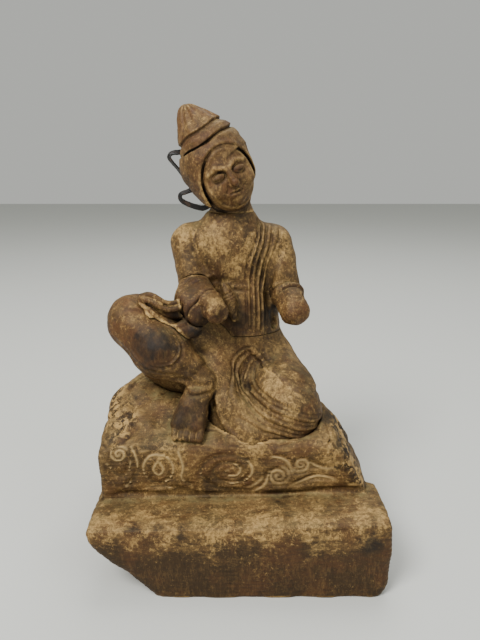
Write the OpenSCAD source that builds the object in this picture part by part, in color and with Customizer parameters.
// Seated Buddhist figure on a rock plinth, carved in wood and built up from
// dowelled blocks: plinth, lap, torso, head and the two broken forearms.
// Millimetres, +Z up. The figure faces -Y, and +X is the viewer's right. The
// origin is the middle of the footprint, on the surface the plinth stands on.

/* [Plinth] */
// Width across the front step
plinth_w = 105.5; // [88:0.1:127]
// Depth from the face of the step to the back of the rock
plinth_d = 90; // [78:1:110]
// Height of the front step
step_h = 28; // [22:1:34]
// Depth of the front step, out from the carved band
step_d = 19; // [14:1:24]
// Height of the carved band above the step
band_h = 21; // [17:1:26]
// Height of the rock's left shoulder above the band
rock_h = 17; // [12:1:21]
// Depth of the seat recess, below the top of the band
seat_sink = 3; // [2:0.5:5]

/* [Legs and lap] */
// Height of the lap block, from the seat to the waist joint
lap_h = 37; // [32:0.2:45]
// Height of the raised knee's centre above the seat
knee_h = 43; // [38:0.2:52]
// Radius of the thigh that lies flat
thigh_r = 13; // [11:0.5:15.5]
// Radius of the raised knee and shin
shin_r = 9.6; // [8:0.2:11.5]
// Radius of the ends of the waist's oval
waist_r = 11; // [9.5:0.5:13]

/* [Torso and arms] */
// Height of the torso block, from the waist joint to the neck joint
torso_h = 46; // [39:1:55]
// Width between the shoulders' centres
shoulder_w = 31; // [26:0.2:38]
// Radius of the shoulders
shoulder_r = 7.7; // [6.5:0.1:9]
// Radius of the arms at the elbow
arm_r = 6.4; // [5.4:0.1:7.6]
// Length left of the right forearm, from the elbow joint
right_stump_l = 30; // [24:1:36]
// Length left of the left forearm, from the elbow joint
left_stump_l = 19; // [15:1:23]

/* [Head] */
// Length of the head and hat, along their tilted axis
head_l = 39; // [33:1:47]
// Radius of the hood at its widest
hood_r = 12.6; // [10.5:0.1:14.5]
// Radius of the neck
neck_r = 6; // [5:0.25:7]
// Tilt of the head towards the raised knee, in degrees
head_tilt = 26; // [0:1:30]

/* [Joints] */
// Radius of the two dowels between plinth and lap
plinth_dowel_r = 3; // [2:0.25:4]
// Radius of the two dowels in the waist joint
waist_dowel_r = 2.5; // [1.5:0.25:3]
// Radius of the dowel in the neck
neck_dowel_r = 2; // [1.5:0.25:3]
// Radius of the elbow pegs
elbow_peg_r = 1.6; // [1.2:0.1:2.2]
// Length of a dowel on each side of its joint
dowel_half_l = 8; // [6:0.5:10]
// Length of an elbow peg on each side of its joint
peg_half_l = 5.5; // [4:0.5:7]
// Width of the hat ribbon
ribbon_w = 2; // [1.4:0.1:2.6]
// Thickness of the hat ribbon
ribbon_t = 0.6; // [0.4:0.05:0.9]
// Radius of the ribbon nails
nail_r = 0.4; // [0.3:0.05:0.6]
// Radial clearance of dowels, pegs and nails in their holes
peg_fit = 0.05; // [0.02:0.01:0.1]
// Clearance of the lap in its recess, and of the sash against the figure
seat_fit = 0.12; // [0.08:0.02:0.3]

/* [Hidden] */
dark_wood = [0.30, 0.19, 0.11];
worn_wood = [0.46, 0.31, 0.17];
peg_wood = [0.55, 0.40, 0.24];
ribbon_metal = [0.12, 0.10, 0.09];
ball_fn = 24;
round_fn = 48;
far = 200;

// Levels of the joints between the blocks
band_z = step_h + band_h;
seat_z = band_z - seat_sink;
waist_z = seat_z + lap_h;
neck_z = waist_z + torso_h;

// Edges of the plinth
half_w = plinth_w / 2;
front_y = -plinth_d / 2;
back_y = plinth_d / 2;
band_y = front_y + step_d;
rock_r = 4.5;
step_r = 6;
edge_r = 2.5;
foot_cut_w = 23.5;
foot_cut_h = 21;

// Middle of the waist, shoulders, neck joint and elbows
waist_c = [3, 9, waist_z];
waist_spread = 3;
chest_x = -2.8;
shoulder_y = 7.2;
shoulder_z = neck_z - 12.2;
right_shoulder = [chest_x - shoulder_w / 2, shoulder_y, shoulder_z];
left_shoulder = [chest_x + shoulder_w / 2, shoulder_y, shoulder_z];
neck_c = [-2, 4.5, neck_z];
right_elbow = [right_shoulder[0] + 1.5, 1, shoulder_z - 14.3];
left_elbow = [left_shoulder[0] + 5.6, 2, shoulder_z - 17.2];
// Turn and tilt of the elbow joints' faces, and of the stumps beyond them
elbow_tilt = 42;
right_turn = 20;
left_turn = 0;
right_stump_dir = [0.41, -0.9, -0.16];
left_stump_dir = [0.19, -0.88, -0.43];

// Knees, seat and foot of the raised right leg, and the folded left leg
right_knee = [-38.8, -7, seat_z + knee_h];
left_knee = [19.2, -12.5, seat_z + thigh_r - 2];
right_ankle = [-18, -13.6, seat_z + 27];
right_heel = [-17, -17.6, seat_z + 13];
toe_r = 2.2;
toe_z = seat_z + 6.4;

// Head: its own frame stands on the chin and tilts about it
chin_c = [-0.7, 0, neck_z + 2];
head_y = 2.5;
hat_z = head_l - 16;

// Unit vector along a, and the sweep of a flat strip through stations
// [x, y, z, twist], whose width turns by twist from the face of the path
function unit(a) = a / norm(a);
function along(p, i) =
  unit(place(p[min(i + 1, len(p) - 1)]) - place(p[max(i - 1, 0)]));
function place(s) = [s[0], s[1], s[2]];
function flat_dir(t) = unit(cross(t, [0, 1, 0]));
function width_dir(t, a) = unit(cos(a) * flat_dir(t) + sin(a) * cross(t, flat_dir(t)));
function strip_ring(c, t, w, th, wd) = let (n = cross(t, w))
  [c + w * wd + n * th, c - w * wd + n * th, c - w * wd - n * th, c + w * wd - n * th];
function strip_points(p, wd, th) = [for (i = [0:len(p) - 1])
  let (t = along(p, i), w = width_dir(t, p[i][3]))
  each strip_ring(place(p[i]), t, w, th / 2, wd / 2)];
function strip_faces(n) = concat([[3, 2, 1, 0]], [[for (k = [0:3]) 4 * n - 4 + k]],
  [for (i = [0:n - 2], k = [0:3]) [4 * i + k, 4 * i + (k + 1) % 4, 4 * i + 4 + k]],
  [for (i = [0:n - 2], k = [0:3]) [4 * i + (k + 1) % 4, 4 * i + 4 + (k + 1) % 4, 4 * i + 4 + k]]);

// Route of the ribbons in the head's frame: nailed to the back of the hood,
// out round its left side, and back
upper_route = [[-3, 14.3, 24.6, 0], [-7, 12.9, 25.6, 0], [-10.5, 9.6, 26.8, 25],
  [-13, 7.4, 27.5, 40], [-14.4, 6.4, 26.6, 50], [-14.2, 6.4, 24.6, 60],
  [-13.4, 7, 21.6, 60], [-12.6, 8.8, 18.6, 40], [-10.2, 11.4, 16.6, 10], [-6, 13.6, 15.6, 0]];
lower_route = [[-6.5, 12.2, 12.2, 0], [-10, 11.4, 12.4, 10], [-14.4, 9.6, 12.8, 40],
  [-17, 9, 13, 50], [-17.9, 9, 11.4, 40], [-16.9, 9, 9.4, 20], [-14.3, 9.2, 6.6, 10],
  [-11.5, 9.4, 4.6, 0], [-8, 9.4, 5, 0], [-4, 9.2, 7.2, 0]];
nail_l = 5;
nail_head_r = 2 * nail_r;
nail_head_t = 0.4;

// Ball at p, the basic form that the carved blocks are built from
module ball(p, r) translate(p) sphere(r = r, $fn = ball_fn);

// Skin over balls given as [place, radius], all grown by g
module limb(balls, g = 0) hull() for (b = balls) ball(b[0], b[1] + g);

// Half-space above z
module above(z) translate([-far / 2, -far / 2, z]) cube(far);

// Half-space below z
module below(z) translate([-far / 2, -far / 2, z - far]) cube(far);

// Frame of an elbow joint: +Z runs out of the upper arm into the forearm
module elbow_frame(c, turn) translate(c) rotate([0, 0, turn]) rotate([180 - elbow_tilt, 0, 0])
  children();

// Frame of the head
module head_frame() translate(chin_c) rotate([0, -head_tilt, 0]) children();

// Round rod through a joint, centred on it and along +Z
module rod(r, half_l) translate([0, 0, -half_l]) cylinder(r = r, h = 2 * half_l, $fn = round_fn);

// Hole for such a rod, with clearance all round and at both ends
module rod_hole(r, half_l) rod(r + peg_fit, half_l + 0.4);

// Plinth dowels, waist dowels and neck dowel, as rods or as their holes
module at_plinth_dowels() for (x = [-6, 12]) translate([x, 10, seat_z]) children();
module at_waist_dowels() for (x = [-1, 1]) translate(waist_c + [x * waist_r / 2, 0, 0]) children();
module at_neck_dowel() translate(neck_c) children();

// Nails through the ribbons' ends, in the head's frame, driven in along -Y
module at_nails() for (s = [upper_route[0], upper_route[9], lower_route[0], lower_route[9]])
  translate(place(s)) rotate([90, 0, 0]) children();

module nail_shank(g = 0) translate([0, 0, -ribbon_t / 2]) cylinder(r = nail_r + g, h = nail_l + g,
  $fn = round_fn);

module strip(route, g = 0) polyhedron(
  points = strip_points(route, ribbon_w + 2 * g, ribbon_t + 2 * g),
  faces = strip_faces(len(route)), convexity = 4);

// Seat with the thigh that lies flat, and the end of the waist above it
module seat_form(g = 0) limb([[[-4, 9, seat_z + 13], 15], [[11, 10, seat_z + 20], thigh_r],
  [left_knee, thigh_r], [waist_c - [waist_spread, 0, 0], waist_r],
  [waist_c + [waist_spread, 0, 0], waist_r]], g);

// Calf folded under the flat thigh
module calf_form(g = 0) limb([[left_knee + [0.5, -1, -4.4], 8.4], [[5, -16.5, seat_z + 3.5], 6],
  [[-7, -12, seat_z + 6], 5]], g);

// Thigh of the raised leg, with the cloth that fills in under it
module thigh_form(g = 0) limb([[[-8, 6, seat_z + 28], 12], [right_knee + [0, 1, 1.4], shin_r - 0.2],
  [[-20, 2, seat_z + 18], 9]], g);

// Shin of the raised leg
module shin_form(g = 0) limb([[right_knee, shin_r], [[-27.6, -12.8, seat_z + 34.2], shin_r + 0.2],
  [right_ankle, 6.2]], g);

// Foot of the raised leg, down to the toes
module foot_form(g = 0) limb([[right_ankle + [4, 0, -5], 5], [right_heel, 4.6],
  [[-22.6, -23.1, toe_z - 0.6], toe_r], [[-14, -23.1, toe_z - 0.6], toe_r],
  [right_heel + [0, 2, -7], 4]], g);

// Rock behind the step, with the flat face of its carved front band
module rock_form() limb([
  [[-half_w + rock_r + 1, band_y + rock_r, band_z - rock_r], rock_r],
  [[-half_w + rock_r + 1.6, 0, band_z + 7], rock_r],
  [[-half_w + 13.2, 0, band_z + rock_h - rock_r], rock_r],
  [[-half_w + 18, 14, band_z + rock_h - rock_r], rock_r],
  [[-half_w + 10, back_y - rock_r, band_z - 2], rock_r],
  [[-half_w + 16, back_y - rock_r, 0], rock_r],
  [[-12, 16, band_z + 11], rock_r],
  [[-4, back_y - 8, band_z + 1], rock_r],
  [[half_w - 21.5, band_y + 20, band_z + 4.5], rock_r],
  [[half_w - 13, band_y + 20, band_z - 6], rock_r],
  [[half_w - 7, band_y + 20, step_h], rock_r],
  [[half_w - 19, band_y + rock_r, band_z - 2.6], rock_r],
  [[half_w - 31, back_y - 11, band_z - 12], rock_r],
  [[half_w - 7.4, band_y + rock_r, step_h - 1], rock_r],
  [[half_w - 7.4, band_y + rock_r, 0], rock_r],
  [[half_w - 15, back_y - 9, step_h - 6], rock_r],
  [[half_w - 15, back_y - 9, 0], rock_r],
  [[-half_w + rock_r + 1, band_y + rock_r, foot_cut_h], rock_r],
  [[-half_w + foot_cut_w + 2, band_y + rock_r, 0], rock_r]]);

// Step, as its side profile along X cut to its front outline along Y: the
// front edge is rounded, and the left foot is cut away on a slant
module step_side() polygon(concat([[band_y + 2 * rock_r, 0], [front_y + edge_r, 0], [front_y, edge_r]],
  [for (a = [0:15:90]) [front_y + step_r * (1 - cos(a)), step_h - step_r * (1 - sin(a))]],
  [[band_y + 2 * rock_r, step_h]]));

module step_front() polygon([[-half_w + foot_cut_w, 0], [half_w - edge_r, 0], [half_w, edge_r],
  [half_w, step_h - step_r], [half_w - edge_r, step_h], [-half_w + edge_r, step_h],
  [-half_w, step_h - step_r], [-half_w, foot_cut_h], [-half_w + edge_r, foot_cut_h - 2 * edge_r]]);

module step_form() intersection() {
  translate([-half_w, 0, 0]) rotate([90, 0, 90]) linear_extrude(plinth_w) step_side();
  translate([0, back_y, 0]) rotate([90, 0, 0]) linear_extrude(plinth_d) step_front();
}

module plinth() color(dark_wood) difference() {
  union() {
    rock_form();
    step_form();
  }
  below(0);
  intersection() {
    union() {
      seat_form(seat_fit);
      calf_form(seat_fit);
      thigh_form(seat_fit);
      foot_form(seat_fit);
    }
    above(seat_z);
  }
  at_plinth_dowels() rod_hole(plinth_dowel_r, dowel_half_l);
}

module lap() color(worn_wood) difference() {
  union() {
    difference() {
      seat_form();
      above(waist_z);
    }
    calf_form();
    thigh_form();
    shin_form();
    foot_form();
  }
  below(seat_z);
  at_plinth_dowels() rod_hole(plinth_dowel_r, dowel_half_l);
  at_waist_dowels() rod_hole(waist_dowel_r, dowel_half_l);
}

// Chest from the waist to the shoulders' height
module chest_form(g = 0) limb([[waist_c - [waist_spread, 0, 0], waist_r],
  [waist_c + [waist_spread, 0, 0], waist_r], [[chest_x - 7, shoulder_y, shoulder_z - 3], 10],
  [[chest_x + 7, shoulder_y, shoulder_z - 3], 10]], g);

// Upper arm, cut off square at its elbow joint
module upper_arm(shoulder, elbow, turn) difference() {
  limb([[shoulder, shoulder_r], [elbow, arm_r]]);
  elbow_frame(elbow, turn) above(0);
}

// Chest with both upper arms, closed off at the waist, neck and elbows
module torso() color(worn_wood) difference() {
  union() {
    chest_form();
    limb([[right_shoulder, shoulder_r], [left_shoulder, shoulder_r],
      [neck_c - [0.6, -1.5, 5], neck_r]]);
    upper_arm(right_shoulder, right_elbow, right_turn);
    upper_arm(left_shoulder, left_elbow, left_turn);
    translate(neck_c) rod(neck_r, dowel_half_l);
  }
  below(waist_z);
  above(neck_z);
  thigh_form(seat_fit);
  at_waist_dowels() rod_hole(waist_dowel_r, dowel_half_l);
  at_neck_dowel() rod_hole(neck_dowel_r, dowel_half_l);
  elbow_frame(right_elbow, right_turn) rod_hole(elbow_peg_r, peg_half_l);
  elbow_frame(left_elbow, left_turn) rod_hole(elbow_peg_r, peg_half_l);
}

// Hat above the hood: two rings with grooves between them, then the cone
module hat() translate([0, head_y, hat_z]) rotate_extrude($fn = round_fn) polygon([[0, 0],
  [hood_r - 0.6, 0], [hood_r - 0.9, 1.8], [hood_r - 1.9, 2.4], [hood_r - 1.4, 3.4],
  [hood_r - 1.7, 4.6], [hood_r - 3.3, 5.4], [hood_r - 3.6, 6.2], [hood_r - 4.4, 8.4],
  [hood_r - 6, 11.4], [hood_r - 8.2, 14], [3, head_l - hat_z - 0.9],
  [1.6, head_l - hat_z - 0.2], [0, head_l - hat_z]]);

module head() color(worn_wood) difference() {
  union() {
    head_frame() limb([[[0.8, -1.4, 6.6], 6.4], [[0.3, 0.6, 11.6], hood_r - 1.4],
      [[0, head_y, hat_z - 5.6], hood_r]]);
    head_frame() hat();
    translate(neck_c) cylinder(r = neck_r, h = dowel_half_l + 2, $fn = round_fn);
  }
  below(neck_z);
  at_neck_dowel() rod_hole(neck_dowel_r, dowel_half_l);
  head_frame() strip(upper_route, peg_fit);
  head_frame() strip(lower_route, peg_fit);
  head_frame() at_nails() nail_shank(peg_fit);
}

// What is left of a forearm: a stump from the elbow joint to a rounded break
module stump_form(c, dir, len, r, g = 0) limb([[c, arm_r], [c + unit(dir) * (len - r), r]], g);

module forearm_cuts(c, turn) {
  elbow_frame(c, turn) below(0);
  elbow_frame(c, turn) rod_hole(elbow_peg_r, peg_half_l);
  chest_form(seat_fit);
}

// Right stump, with the cloth that hangs under it
module right_stump(g = 0) {
  stump_form(right_elbow, right_stump_dir, right_stump_l, arm_r - 1.2, g);
  limb([[right_elbow + [0.6, -8, -4.5], 4.6], [right_elbow + [4, -15, -9], 3.6]], g);
}

module right_forearm() color(dark_wood) difference() {
  right_stump();
  forearm_cuts(right_elbow, right_turn);
}

module left_forearm() color(worn_wood) difference() {
  stump_form(left_elbow, left_stump_dir, left_stump_l, arm_r - 0.8);
  forearm_cuts(left_elbow, left_turn);
}

// Two strands of cloth from the raised knee that gather beside the forearm
sash_top = right_knee + [6.4, -4.5, 10.2];
sash_arm = right_elbow + [-0.4, -13.6, -2];
sash_dip = (sash_top + sash_arm) / 2 + [0, -0.5, -1.6];
sash_side = right_knee + [7.3, -5.5, 6.5];
sash_low = right_elbow + [1.2, -15, -12];
sash_bend = (sash_side + sash_low) / 2 + [0, -1.5, -2];
module sash() color(dark_wood) difference() {
  union() {
    limb([[sash_top, 1.7], [sash_dip, 1.7]]);
    limb([[sash_dip, 1.7], [sash_arm, 2]]);
    limb([[sash_side, 2], [sash_bend, 2.2]]);
    limb([[sash_bend, 2.2], [sash_low, 2.6]]);
    limb([[sash_arm, 2], [sash_low, 2.6]]);
  }
  thigh_form(seat_fit);
  shin_form(seat_fit);
  right_stump(seat_fit);
}

module ribbon_upper() color(ribbon_metal) difference() {
  head_frame() strip(upper_route);
  head_frame() at_nails() nail_shank(peg_fit);
}

module ribbon_lower() color(ribbon_metal) difference() {
  head_frame() strip(lower_route);
  head_frame() at_nails() nail_shank(peg_fit);
}

module plinth_dowels() color(peg_wood) at_plinth_dowels() rod(plinth_dowel_r, dowel_half_l);

module waist_dowels() color(peg_wood) at_waist_dowels() rod(waist_dowel_r, dowel_half_l);

module neck_dowel() color(peg_wood) at_neck_dowel() rod(neck_dowel_r, dowel_half_l);

module right_elbow_peg() color(peg_wood)
  elbow_frame(right_elbow, right_turn) rod(elbow_peg_r, peg_half_l);

module left_elbow_peg() color(peg_wood)
  elbow_frame(left_elbow, left_turn) rod(elbow_peg_r, peg_half_l);

module ribbon_nails() color(ribbon_metal) head_frame() at_nails() {
  nail_shank();
  translate([0, 0, -ribbon_t / 2 - peg_fit - nail_head_t]) cylinder(r = nail_head_r,
    h = nail_head_t + peg_fit, $fn = round_fn);
}

plinth();
lap();
torso();
head();
right_forearm();
left_forearm();
sash();
ribbon_upper();
ribbon_lower();
plinth_dowels();
waist_dowels();
neck_dowel();
right_elbow_peg();
left_elbow_peg();
ribbon_nails();
